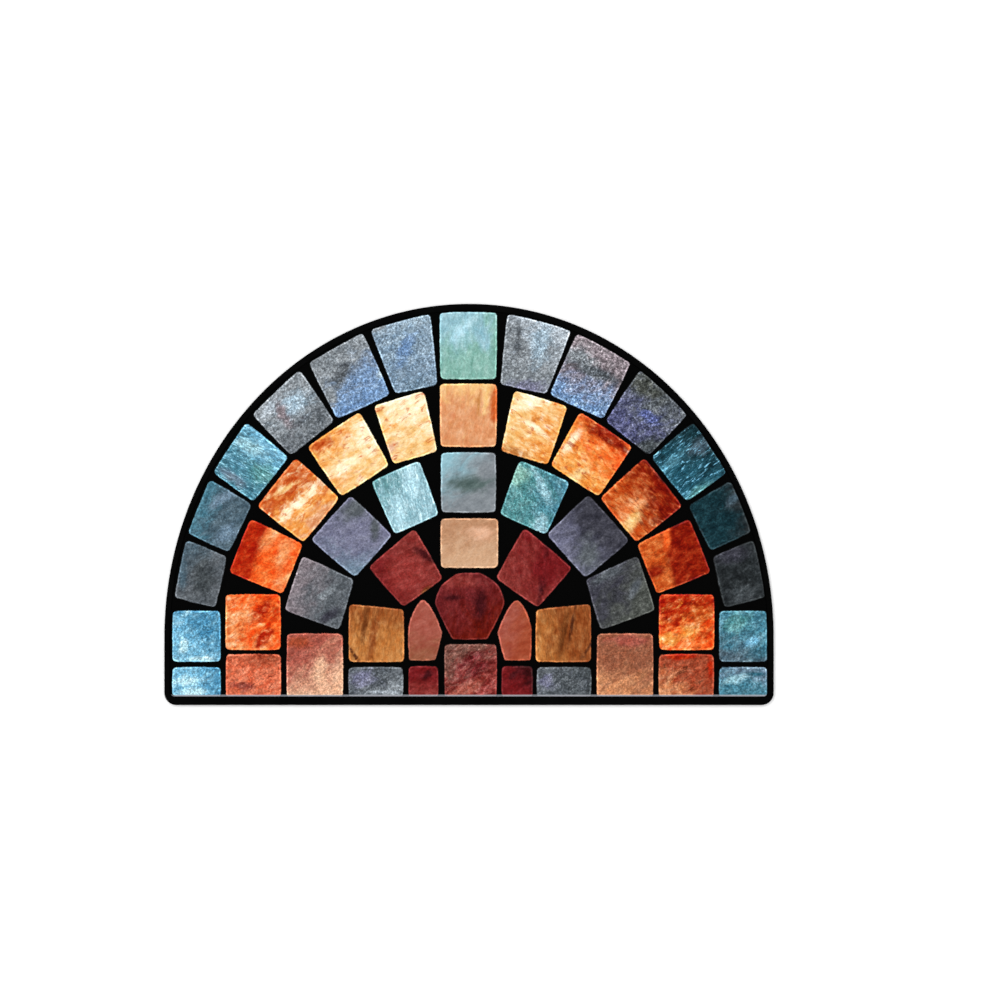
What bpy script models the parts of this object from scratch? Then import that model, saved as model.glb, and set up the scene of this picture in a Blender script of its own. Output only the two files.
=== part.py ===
"""A half-round doormat laid with a cobblestone relief, in metres, with +Z up.

The mat lies flat on the floor. Its straight foot runs along X, its arch rises towards +Y,
and the origin is on the floor under the middle of the mat's box. It has two pieces:
rubber_base, a moulded rubber sheet with a raised rim all round, and face_cloth, a needled
cloth that lies in the rim, pressed thin along the joints so that 52 cobbles stand up.
"""

from collections import namedtuple
from math import atan2, cos, hypot, pi, radians, sin, tan

import bmesh
import bpy
from mathutils import Matrix, Vector

MM = 0.001

# Outline of the mat: two short straight sides, and half an ellipse over them
WIDTH = 600 * MM
SIDE_HEIGHT = 67 * MM
ARCH_RISE = 328 * MM
DEPTH = SIDE_HEIGHT + ARCH_RISE
FOOT_Y = -DEPTH / 2
CORNER_RADIUS = 12 * MM
ARCH_STEPS = 64
CORNER_STEPS = 6

# The rim is widest at the foot and at the crown of the arch
RIM_SIDE = 5.6 * MM
RIM_CROWN = 6.6 * MM
RIM_FOOT = 8.1 * MM
RIM_HEIGHT = 5.0 * MM
RIM_EDGE = 1.1 * MM
RECESS_CORNER = 4.5 * MM

# Thicknesses, from the floor up
RUBBER = 2.2 * MM
FIT = 0.3 * MM
JOINT_CLOTH = 1.5 * MM
COBBLE_RISE = 2.5 * MM
COBBLE_CROWN = 0.5 * MM
SHOULDER = 1.6 * MM
CLOTH_UNDER = RUBBER + FIT
JOINT_LEVEL = CLOTH_UNDER + JOINT_CLOTH
COBBLE_LEVEL = JOINT_LEVEL + COBBLE_RISE

# Round corners of the cobbles
COBBLE_CORNER = 5.0 * MM
COBBLE_CORNER_STEPS = 2

# How far the tools that shape the cloth reach past what they cut or join
BITE = 0.8 * MM
BLANK_SPARE = 6 * MM
CUT_SPARE = 3 * MM
WELD = 0.00001

# The rings of cobbles share one centre, this far above the foot
RING_CENTRE = 64.1 * MM

# Half axes of the two ellipses that each ring lies between, in millimetres
Ring = namedtuple("Ring", "outer_across outer_up inner_across inner_up")
RINGS = {
    "outer": Ring(292.5, 324.0, 251.0, 254.0),
    "second": Ring(244.5, 249.0, 187.8, 187.8),
    "third": Ring(183.0, 183.0, 126.0, 126.0),
    "inner": Ring(119.4, 119.4, 71.8, 60.8),
}

# Ring cobbles, each with a mirrored twin. Degrees from straight up: angle is where the
# cobble stands and lean is how it is turned. Its widths are in millimetres.
RingCobble = namedtuple("RingCobble", "ring angle lean outer_width inner_width")
RING_COBBLES = (
    RingCobble("outer", 12.2, 13.4, 63.5, 44.5),
    RingCobble("outer", 24.6, 25.3, 61.0, 58.0),
    RingCobble("outer", 38.0, 38.5, 64.5, 54.5),
    RingCobble("outer", 51.2, 51.9, 59.5, 56.0),
    RingCobble("outer", 63.9, 62.1, 56.0, 51.0),
    RingCobble("outer", 76.5, 71.2, 58.0, 51.5),
    RingCobble("second", 16.5, 15.5, 54.0, 47.0),
    RingCobble("second", 33.1, 31.6, 62.0, 56.5),
    RingCobble("second", 50.9, 49.7, 61.0, 56.5),
    RingCobble("second", 67.9, 66.0, 57.0, 53.0),
    RingCobble("third", 24.2, 22.0, 53.0, 49.0),
    RingCobble("third", 48.8, 47.9, 60.0, 56.5),
    RingCobble("third", 72.9, 67.7, 56.5, 52.0),
    RingCobble("inner", 41.9, 35.0, 61.0, 49.5),
)

# Upright cobbles in millimetres: x from the middle line, heights above the foot. One that
# stands off the middle line has a mirrored twin. The lowest row runs down to the cut edge.
# inner_drop is how far the top slopes down towards the middle line.
CUT_EDGE = None
Upright = namedtuple("Upright", "x low high low_width high_width inner_drop", defaults=(0,))
UPRIGHTS = (
    Upright(0, 320.8, 386.7, 56.5, 58.0),
    Upright(0, 254.2, 316.2, 56.5, 58.0),
    Upright(0, 189.6, 248.6, 53.8, 54.2),
    Upright(0, 135.1, 183.7, 56.2, 56.8),
    Upright(0, CUT_EDGE, 58.4, 51.2, 51.6),
    Upright(269.0, 42.7, 92.8, 47.4, 47.0),
    Upright(269.0, CUT_EDGE, 37.3, 47.6, 47.4),
    Upright(213.3, 54.3, 109.0, 54.4, 54.0),
    Upright(213.0, CUT_EDGE, 50.2, 54.2, 54.0),
    Upright(152.6, CUT_EDGE, 70.5, 55.6, 55.0),
    Upright(91.4, 42.5, 99.6, 54.6, 54.0, 5.4),
    Upright(91.6, CUT_EDGE, 37.4, 54.4, 54.4),
    Upright(45.8, CUT_EDGE, 38.3, 29.2, 29.0),
)

# Corners of the two odd shapes, in millimetres from the middle line and above the foot
KEYSTONE = ((-18, 64.8), (18, 64.8), (33.2, 103), (20, 129.2), (-20, 129.2), (-33.2, 103))
KEYSTONE_CORNER = 11 * MM
POINTED = ((32.7, 42.2), (58.6, 42.2), (58.6, 79), (45.8, 104), (28.2, 70))
POINTED_CORNER = 4.5 * MM


def arc(centre, across, up, start, end, steps):
    """Points along an ellipse's edge, from one angle to another, both included."""
    angles = [start + (end - start) * step / steps for step in range(steps + 1)]
    return [centre + Vector((across * cos(angle), up * sin(angle))) for angle in angles]


def arch_outline(side, crown, foot, corner):
    """The mat's outline drawn in by side, crown and foot, anticlockwise from lower right."""
    across = WIDTH / 2 - side
    up = ARCH_RISE - crown
    spring = FOOT_Y + SIDE_HEIGHT
    low = FOOT_Y + foot
    right_corner = Vector((across - corner, low + corner))
    left_corner = Vector((corner - across, low + corner))
    points = arc(right_corner, corner, corner, -pi / 2, 0, CORNER_STEPS)
    points += arc(Vector((0, spring)), across, up, 0, pi, ARCH_STEPS)
    points += arc(left_corner, corner, corner, pi, 3 * pi / 2, CORNER_STEPS)
    return points


def rounded(corners, radius, steps):
    """A convex outline through these corners, with an arc in place of each one."""
    points = []
    for place, corner in enumerate(corners):
        back = corners[place - 1] - corner
        ahead = corners[(place + 1) % len(corners)] - corner
        half_angle = back.angle(ahead) / 2
        reach = min(radius / tan(half_angle), 0.45 * back.length, 0.45 * ahead.length)
        start = corner + back.normalized() * reach
        inward = (back.normalized() + ahead.normalized()).normalized()
        centre = corner + inward * reach / cos(half_angle)
        sweep = pi - 2 * half_angle
        for step in range(steps + 1):
            turn = Matrix.Rotation(sweep * step / steps, 2)
            points.append(centre + turn @ (start - centre))
    return points


def on_ellipse(across, up, angle):
    """The point of an ellipse about the rings' centre, at this angle from straight up."""
    reach = MM / hypot(sin(angle) / across, cos(angle) / up)
    return Vector((reach * sin(angle), reach * cos(angle)))


def along_ellipse(point, across, up):
    """The direction in which an ellipse of these half axes runs past a point."""
    lean = atan2(point.x / across**2, point.y / up**2)
    return Vector((cos(lean), -sin(lean)))


def ring_corners(cobble):
    """Corners of a ring cobble, anticlockwise, seen from the rings' centre."""
    ring = RINGS[cobble.ring]
    angle = radians(cobble.angle)
    lean = radians(cobble.lean)
    outer = on_ellipse(ring.outer_across, ring.outer_up, angle)
    inner = on_ellipse(ring.inner_across, ring.inner_up, angle)
    middle = (outer + inner) / 2
    axis = Vector((sin(lean), cos(lean))) * (outer - inner).length / 2
    outer_run = along_ellipse(middle + axis, ring.outer_across, ring.outer_up)
    inner_run = along_ellipse(middle - axis, ring.inner_across, ring.inner_up)
    outer_half = outer_run * cobble.outer_width * MM / 2
    inner_half = inner_run * cobble.inner_width * MM / 2
    return [
        middle - axis - inner_half,
        middle - axis + inner_half,
        middle + axis + outer_half,
        middle + axis - outer_half,
    ]


def upright_corners(cobble):
    """Corners of an upright cobble, anticlockwise, seen from the middle of the foot."""
    if cobble.low is CUT_EDGE:
        low = RIM_FOOT - CUT_SPARE
    else:
        low = cobble.low * MM
    middle = cobble.x * MM
    low_half = cobble.low_width / 2 * MM
    high_half = cobble.high_width / 2 * MM
    high = cobble.high * MM
    return [
        Vector((middle - low_half, low)),
        Vector((middle + low_half, low)),
        Vector((middle + high_half, high)),
        Vector((middle - high_half, high - cobble.inner_drop * MM)),
    ]


def mirrored(corners):
    """The same outline on the other side of the middle line, still anticlockwise."""
    return [Vector((-corner.x, corner.y)) for corner in reversed(corners)]


def lifted(corners, height):
    return [corner + Vector((0, height)) for corner in corners]


def cobble_outlines():
    """The 52 outlines, in the mat's own place."""
    shapes = []
    for cobble in RING_COBBLES:
        corners = lifted(ring_corners(cobble), RING_CENTRE)
        shapes.append((corners, COBBLE_CORNER))
        shapes.append((mirrored(corners), COBBLE_CORNER))
    for cobble in UPRIGHTS:
        corners = upright_corners(cobble)
        shapes.append((corners, COBBLE_CORNER))
        if cobble.x:
            shapes.append((mirrored(corners), COBBLE_CORNER))
    keystone = [Vector(point) * MM for point in KEYSTONE]
    shapes.append((keystone, KEYSTONE_CORNER))
    pointed = [Vector(point) * MM for point in POINTED]
    shapes.append((pointed, POINTED_CORNER))
    shapes.append((mirrored(pointed), POINTED_CORNER))
    outlines = []
    for corners, radius in shapes:
        outlines.append(rounded(lifted(corners, FOOT_Y), radius, COBBLE_CORNER_STEPS))
    return outlines


def flat_solid(name, outlines, low, high, collection):
    """Outlines filled and raised from low to high, as one mesh object."""
    curve = bpy.data.curves.new(name, "CURVE")
    curve.dimensions = "2D"
    curve.fill_mode = "BOTH"
    curve.extrude = (high - low) / 2
    for outline in outlines:
        spline = curve.splines.new("POLY")
        spline.points.add(len(outline) - 1)
        for point, place in zip(spline.points, outline):
            point.co = (place.x, place.y, 0, 1)
        spline.use_cyclic_u = True
    drawn = bpy.data.objects.new(name + "_outline", curve)
    drawn.location.z = (low + high) / 2
    collection.objects.link(drawn)
    bpy.context.view_layer.update()
    graph = bpy.context.evaluated_depsgraph_get()
    mesh = bpy.data.meshes.new_from_object(drawn.evaluated_get(graph))
    solid = bpy.data.objects.new(name, mesh)
    solid.matrix_world = drawn.matrix_world
    collection.objects.link(solid)
    bpy.data.objects.remove(drawn)
    bm = bmesh.new()
    bm.from_mesh(mesh)
    bmesh.ops.remove_doubles(bm, verts=bm.verts, dist=WELD)
    bmesh.ops.dissolve_limit(bm, angle_limit=radians(1), verts=bm.verts, edges=bm.edges)
    bmesh.ops.recalc_face_normals(bm, faces=bm.faces)
    bm.to_mesh(mesh)
    bm.free()
    mesh.name = name
    return solid


def shaped(target, operation, tool):
    """Joins or cuts target with tool, and keeps the result as target's own mesh."""
    boolean = target.modifiers.new(tool.name, "BOOLEAN")
    boolean.operation = operation
    boolean.object = tool
    boolean.solver = "EXACT"
    bpy.context.view_layer.update()
    graph = bpy.context.evaluated_depsgraph_get()
    before = target.data
    target.data = bpy.data.meshes.new_from_object(target.evaluated_get(graph))
    target.modifiers.clear()
    bpy.data.meshes.remove(before)
    target.data.name = target.name


def round_top_edges(solid, height, width, segments):
    """Rounds the edges that lie all along this height of the world."""
    level = height - solid.location.z
    bm = bmesh.new()
    bm.from_mesh(solid.data)
    edges = [
        edge
        for edge in bm.edges
        if all(abs(vert.co.z - level) < WELD for vert in edge.verts)
        and edge.calc_face_angle(0) > pi / 4
    ]
    bmesh.ops.bevel(
        bm, geom=edges, offset=width, offset_type="OFFSET", segments=segments,
        profile=0.5, affect="EDGES", material=-1, clamp_overlap=True,
    )
    bm.to_mesh(solid.data)
    bm.free()


def crown_tops(solid, height, crown):
    """Draws up the middle of every face that lies flat at this height of the world."""
    level = height - solid.location.z
    bm = bmesh.new()
    bm.from_mesh(solid.data)
    tops = [face for face in bm.faces if abs(face.calc_center_median().z - level) < WELD]
    poked = bmesh.ops.poke(bm, faces=tops, center_mode="MEAN")
    for vert in poked["verts"]:
        vert.co.z += crown
    bm.to_mesh(solid.data)
    bm.free()


def plain_material(name, colour, roughness):
    material = bpy.data.materials.new(name)
    material.use_nodes = True
    shader = material.node_tree.nodes["Principled BSDF"]
    shader.inputs["Base Color"].default_value = (*colour, 1)
    shader.inputs["Roughness"].default_value = roughness
    shader.inputs["Metallic"].default_value = 0
    return material


def hide_tools(collection):
    for tool in collection.objects:
        tool.hide_render = True
        tool.display_type = "WIRE"


def make_rubber_base(pieces, tools):
    outer = arch_outline(0, 0, 0, CORNER_RADIUS)
    recess = arch_outline(RIM_SIDE, RIM_CROWN, RIM_FOOT, RECESS_CORNER)
    base = flat_solid("rubber_base", [outer], 0, RIM_HEIGHT, pieces)
    cutter = flat_solid("recess_cutter", [recess], RUBBER, RIM_HEIGHT + BLANK_SPARE, tools)
    shaped(base, "DIFFERENCE", cutter)
    round_top_edges(base, RIM_HEIGHT, RIM_EDGE, 2)
    base.data.materials.append(plain_material("moulded_rubber", (0.012, 0.012, 0.013), 0.7))
    return base


def make_face_cloth(pieces, tools):
    blank = arch_outline(
        RIM_SIDE - BLANK_SPARE, RIM_CROWN - BLANK_SPARE, RIM_FOOT - BLANK_SPARE, CORNER_RADIUS
    )
    trimmed = arch_outline(RIM_SIDE + FIT, RIM_CROWN + FIT, RIM_FOOT + FIT, RECESS_CORNER - FIT)
    cloth = flat_solid("face_cloth", [blank], CLOTH_UNDER, JOINT_LEVEL, pieces)
    outlines = cobble_outlines()
    cobbles = flat_solid("cobble_relief", outlines, JOINT_LEVEL - BITE, COBBLE_LEVEL, tools)
    round_top_edges(cobbles, COBBLE_LEVEL, SHOULDER, 2)
    crown_tops(cobbles, COBBLE_LEVEL, COBBLE_CROWN)
    shaped(cloth, "UNION", cobbles)
    under = CLOTH_UNDER - BLANK_SPARE
    above = COBBLE_LEVEL + BLANK_SPARE
    trim = flat_solid("trim_block", [trimmed], under, above, tools)
    shaped(cloth, "INTERSECT", trim)
    cloth.data.materials.append(plain_material("printed_needlefelt", (0.18, 0.13, 0.11), 0.9))
    return cloth


def main():
    for left_over in list(bpy.data.objects):
        bpy.data.objects.remove(left_over)
    pieces = bpy.data.collections.new("doormat")
    tools = bpy.data.collections.new("shaping_tools")
    for collection in (pieces, tools):
        bpy.context.scene.collection.children.link(collection)
    make_rubber_base(pieces, tools)
    make_face_cloth(pieces, tools)
    hide_tools(tools)


main()
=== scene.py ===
"""The looks of a half-round doormat: a needled cloth face, printed and hot-pressed into
cobbles, bonded inside the rim of a moulded rubber base. Metres, +Z up, foot along X."""

from collections import namedtuple
from math import atan2, cos, hypot, pi, radians, sin, tan

import bmesh
import bpy
import numpy as np
from mathutils import Matrix, Vector, noise


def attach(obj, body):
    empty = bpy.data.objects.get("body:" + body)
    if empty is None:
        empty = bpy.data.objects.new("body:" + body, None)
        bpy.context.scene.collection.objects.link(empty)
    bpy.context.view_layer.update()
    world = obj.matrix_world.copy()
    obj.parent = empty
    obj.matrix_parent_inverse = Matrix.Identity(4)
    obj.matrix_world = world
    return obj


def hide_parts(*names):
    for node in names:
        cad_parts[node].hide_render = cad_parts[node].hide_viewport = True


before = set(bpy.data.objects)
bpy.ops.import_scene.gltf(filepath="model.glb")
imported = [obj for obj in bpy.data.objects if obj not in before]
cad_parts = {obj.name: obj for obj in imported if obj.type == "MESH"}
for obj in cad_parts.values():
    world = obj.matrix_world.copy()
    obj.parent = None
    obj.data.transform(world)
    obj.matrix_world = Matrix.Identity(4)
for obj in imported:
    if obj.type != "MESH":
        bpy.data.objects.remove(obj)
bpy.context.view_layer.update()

MM = 0.001

# Outline of the mat: two short straight sides, and half an ellipse over them
WIDTH = 600 * MM
SIDE_HEIGHT = 67 * MM
ARCH_RISE = 328 * MM
FOOT_Y = -(SIDE_HEIGHT + ARCH_RISE) / 2
CORNER_RADIUS = 12 * MM
ARCH_STEPS = 180
CORNER_STEPS = 10

# The rim is widest at the foot and at the crown of the arch
RIM_SIDE = 5.6 * MM
RIM_CROWN = 6.6 * MM
RIM_FOOT = 8.1 * MM
RIM_HEIGHT = 5.0 * MM
RECESS_CORNER = 4.5 * MM

# Heights above the floor
RUBBER = 2.2 * MM
FIT = 0.3 * MM
CLOTH_UNDER = RUBBER + FIT
JOINT_LEVEL = CLOTH_UNDER + 1.5 * MM
COBBLE_LEVEL = JOINT_LEVEL + 2.5 * MM

# The rings of cobbles share one centre, this far above the foot
RING_CENTRE = 64.1 * MM

# The cloth is bonded in with its print a little to the right of the base's middle line
PRINT_OFFSET = 0.9 * MM

# Round corners of the cobbles. None takes up more than this share of a side.
COBBLE_CORNER = 4.0 * MM
KEYSTONE_CORNER = 11 * MM
POINTED_CORNER = 4.5 * MM
CUT_CORNER = 2.0 * MM
END_CUT_CORNER = 3.6 * MM
CORNER_SHARE = 0.45

# The lowest row was cut off along this line above the foot. The other walls keep this far
# from the cloth's trimmed side.
CUT_LINE = RIM_FOOT + 0.8 * MM
EDGE_MARGIN = 0.8 * MM

# The soft shoulder, the crowned top, and the bulge of a side that is longer than LONG_SIDE
SHOULDER = 1.6 * MM
CROWN = 0.45 * MM
BULGE = 0.35 * MM
LONG_SIDE = 8 * MM

# How far the walls wander, and how far the top rises and sinks in a slow swell and ripples
WAVE = 0.25 * MM
WAVE_LENGTH = 9 * MM
SWELL = 0.16 * MM
SWELL_LENGTH = 24 * MM
RIPPLE = 0.05 * MM
RIPPLE_LENGTH = 6 * MM

# Steps round a corner, and squares along a side of a cobble's top
ROUND_STEPS = 8
GRID = 26
SHARP_ANGLE = radians(40)

# How a cobble falls away from its top to the joint, in millimetres
Fall = namedtuple("Fall", "out down")
FALLS = (
    Fall(0.50, 0.07),
    Fall(0.90, 0.22),
    Fall(1.25, 0.50),
    Fall(1.48, 0.90),
    Fall(1.60, 1.45),
    Fall(1.72, 2.15),
    Fall(1.95, 2.50),
)

# Half axes of the two ellipses that each ring lies between, in millimetres
Ring = namedtuple("Ring", "outer_across outer_up inner_across inner_up")
RINGS = {
    "outer": Ring(292.5, 322.4, 251.0, 252.4),
    "second": Ring(244.5, 248.3, 187.8, 187.0),
    "third": Ring(183.0, 181.8, 126.0, 124.8),
    "inner": Ring(119.4, 119.4, 71.8, 60.8),
}

# Ring cobbles in pairs. Degrees from straight up: angle is where the cobble stands and lean
# is how it is turned. Its widths are in millimetres. left and right name the two prints.
# The right one is wider than these widths by right_wider, and the left one narrower.
RingCobble = namedtuple("RingCobble", "ring angle lean outer_width inner_width left right "
                        "right_wider", defaults=(0,))
RING_COBBLES = (
    RingCobble("outer", 12.2, 13.4, 63.3, 44.5, "blue_mist", "blue_heart_granite", 2.0),
    RingCobble("outer", 24.6, 25.3, 61.0, 58.0, "blue_corner_granite", "blue_foot_granite"),
    RingCobble("outer", 38.0, 38.5, 64.5, 54.5, "silver_granite", "violet_granite"),
    RingCobble("outer", 51.2, 51.9, 59.5, 56.0, "brushed_sea", "brushed_teal"),
    RingCobble("outer", 63.9, 62.1, 56.0, 51.0, "slate_blue", "deep_teal", -1.5),
    RingCobble("outer", 76.5, 71.2, 58.0, 51.5, "blue_charcoal", "charcoal"),
    RingCobble("second", 16.5, 15.5, 53.2, 46.8, "pale_onyx", "cream_onyx", 1.6),
    RingCobble("second", 33.1, 31.6, 62.0, 56.5, "honey_onyx", "fire_onyx"),
    RingCobble("second", 50.9, 49.7, 61.0, 56.5, "split_onyx", "ember_onyx"),
    RingCobble("second", 67.9, 66.0, 57.0, 53.0, "red_half_flame", "red_half_ember"),
    RingCobble("third", 24.2, 22.0, 53.0, 49.0, "ice_blue", "sea_spray", 1.2),
    RingCobble("third", 48.8, 47.9, 60.0, 56.5, "dusk", "night", 1.0),
    RingCobble("third", 72.9, 67.7, 56.5, 52.0, "violet_ash", "ash"),
    RingCobble("inner", 41.9, 35.0, 61.0, 49.5, "garnet", "veined_garnet", 1.2),
)

# Upright cobbles in millimetres: x from the middle line, heights above the foot. One with
# a left print has a mirrored twin. The middle column leans a little to the left on its way
# up. The lowest row ends at the cut edge. The two crimson ones differ in width, so each
# has a row. inner_drop is how far the top slopes down towards the middle line.
CUT_EDGE = None
Upright = namedtuple("Upright", "x low high low_width high_width left right inner_drop",
                     defaults=(0,))
UPRIGHTS = (
    Upright(-1.6, 320.8, 386.7, 55.2, 56.6, None, "aqua_glass"),
    Upright(-1.5, 254.2, 316.2, 55.0, 56.4, None, "peach_onyx"),
    Upright(-1.4, 189.6, 248.6, 53.8, 54.2, None, "storm"),
    Upright(-0.5, 135.1, 183.7, 56.2, 56.8, None, "beige"),
    Upright(0.7, CUT_EDGE, 60.0, 51.2, 51.6, None, "rose_marble"),
    Upright(269.0, 42.7, 92.8, 47.4, 47.0, "sky_granite", "lake_granite"),
    Upright(269.0, CUT_EDGE, 37.3, 47.6, 47.4, "low_sky_granite", "low_lake_granite"),
    Upright(213.3, 54.3, 109.0, 54.4, 54.0, "flame_agate", "dark_flame_agate"),
    Upright(213.0, CUT_EDGE, 50.2, 54.2, 54.0, "brick", "dark_brick"),
    Upright(152.6, CUT_EDGE, 70.5, 55.6, 55.0, "blush_granite", "clay_granite"),
    Upright(92.0, 42.5, 99.6, 54.6, 54.0, "ochre_sandstone", "brown_sandstone", 5.4),
    Upright(92.6, CUT_EDGE, 37.4, 53.6, 53.6, "violet_granite_low", "grey_granite_low"),
    Upright(46.5, CUT_EDGE, 38.3, 30.6, 30.4, None, "dark_crimson"),
    Upright(-45.8, CUT_EDGE, 38.3, 29.2, 29.0, None, "crimson"),
)

# Past this distance from the middle line a cobble lies in the cloth's own round corner
END_X = 250

# Corners of the two odd shapes, in millimetres from the middle line and above the foot
KEYSTONE = ((-17.5, 64.6), (17.5, 64.6), (35.3, 101), (28.5, 118), (12, 130.2), (-12, 130.2),
            (-28.5, 118), (-35.3, 101))
POINTED = ((34, 44), (60, 44), (61, 75), (56.5, 91), (46.3, 107), (35.5, 92), (27, 71.5))

# The printer's dyes, as they look on matt fibres
DYES = {
    "snow": "#e3e6e4",
    "pearl": "#a0a9b1",
    "stone": "#777d82",
    "pewter": "#50555a",
    "soot": "#202426",
    "olive": "#454844",
    "lead": "#3b4043",
    "haze": "#8a9daa",
    "mauve": "#776e73",
    "ice": "#a6cbd6",
    "mist": "#86adb8",
    "steel": "#64798a",
    "sky": "#6ba3be",
    "azure": "#447c9a",
    "sea": "#437485",
    "lagoon": "#215060",
    "petrol": "#0f2a31",
    "slate": "#42545f",
    "bluebell": "#6480a3",
    "denim": "#6e8294",
    "violet": "#484a6a",
    "iris": "#565f8c",
    "dusk": "#6a6b80",
    "night": "#35353e",
    "aqua": "#79a499",
    "teal": "#4d8083",
    "fern": "#4c5c5a",
    "cream": "#f2e0bb",
    "butter": "#e3b97c",
    "amber": "#dd9247",
    "peach": "#cb8c61",
    "coral": "#d98550",
    "flame": "#dd5c22",
    "rust": "#b8521f",
    "ember": "#a02106",
    "cinder": "#7c1503",
    "oxblood": "#5c0f04",
    "terracotta": "#c26244",
    "brick": "#924129",
    "clay": "#864f38",
    "rose": "#954c3f",
    "blush": "#cfa183",
    "shell": "#b08c80",
    "taupe": "#6a453c",
    "ochre": "#b0713a",
    "tan": "#854720",
    "umber": "#4c2512",
    "bark": "#683716",
    "garnet": "#772a26",
    "ruby": "#842f2b",
    "maroon": "#611c1e",
    "crimson": "#661316",
    "wine": "#37090d",
    "beige": "#aa7e5f",
    "sand": "#bf9878",
}

# Colours that aren't printed
JOINT_BLACK = "#040404"
UNDYED = "#aeb0b8"
RUBBER_BLACK = "#030303"
DUST = "#2b2a28"
BOARD_WHITE = "#fafafa"

# How each kind of stone is printed. cloud is how far the borders between dyes wander;
# the others are how strong its mottling, grain, streaks and veins are.
Stone = namedtuple("Stone", "cloud mottle grain streak vein")
STONES = {
    "granite": Stone(0.40, 0.6, 1.15, 0.0, 0.0),
    "speckled": Stone(0.40, 0.8, 1.55, 0.0, 0.0),
    "frosted": Stone(0.45, 0.8, 1.00, 0.0, 0.0),
    "slate": Stone(0.35, 0.5, 0.80, 0.0, 0.0),
    "brushed": Stone(0.40, 0.5, 0.70, 1.0, 0.0),
    "ice": Stone(0.40, 0.5, 0.45, 0.5, 0.0),
    "glass": Stone(0.35, 0.6, 0.30, 0.15, 0.0),
    "smooth": Stone(0.30, 0.35, 0.15, 0.0, 0.0),
    "satin": Stone(0.50, 0.6, 0.15, 0.1, 0.2),
    "dusky": Stone(0.30, 0.5, 0.55, 0.0, 0.0),
    "onyx": Stone(0.65, 1.3, 0.18, 0.12, 0.75),
    "fiery": Stone(0.36, 1.4, 0.30, 0.25, 0.70),
    "agate": Stone(0.65, 1.7, 0.45, 0.0, 0.50),
    "halved": Stone(0.12, 1.0, 0.45, 0.0, 0.40),
    "brick": Stone(0.40, 0.8, 0.75, 0.0, 0.80),
    "sandy": Stone(0.30, 0.35, 0.75, 0.0, 0.0),
    "sandstone": Stone(0.35, 0.6, 0.20, 0.5, 0.2),
    "garnet": Stone(0.35, 0.5, 0.45, 0.1, 0.05),
    "marble": Stone(0.50, 1.1, 0.75, 0.22, 0.10),
}

# A dab of dye: its middle, -1 to 1 across and up the cobble, its half length and half width
# in the same measure, and the compass bearing it runs along (0 is the crown, 90 the right)
Dab = namedtuple("Dab", "dye across up long wide run", defaults=(0,))

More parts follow.
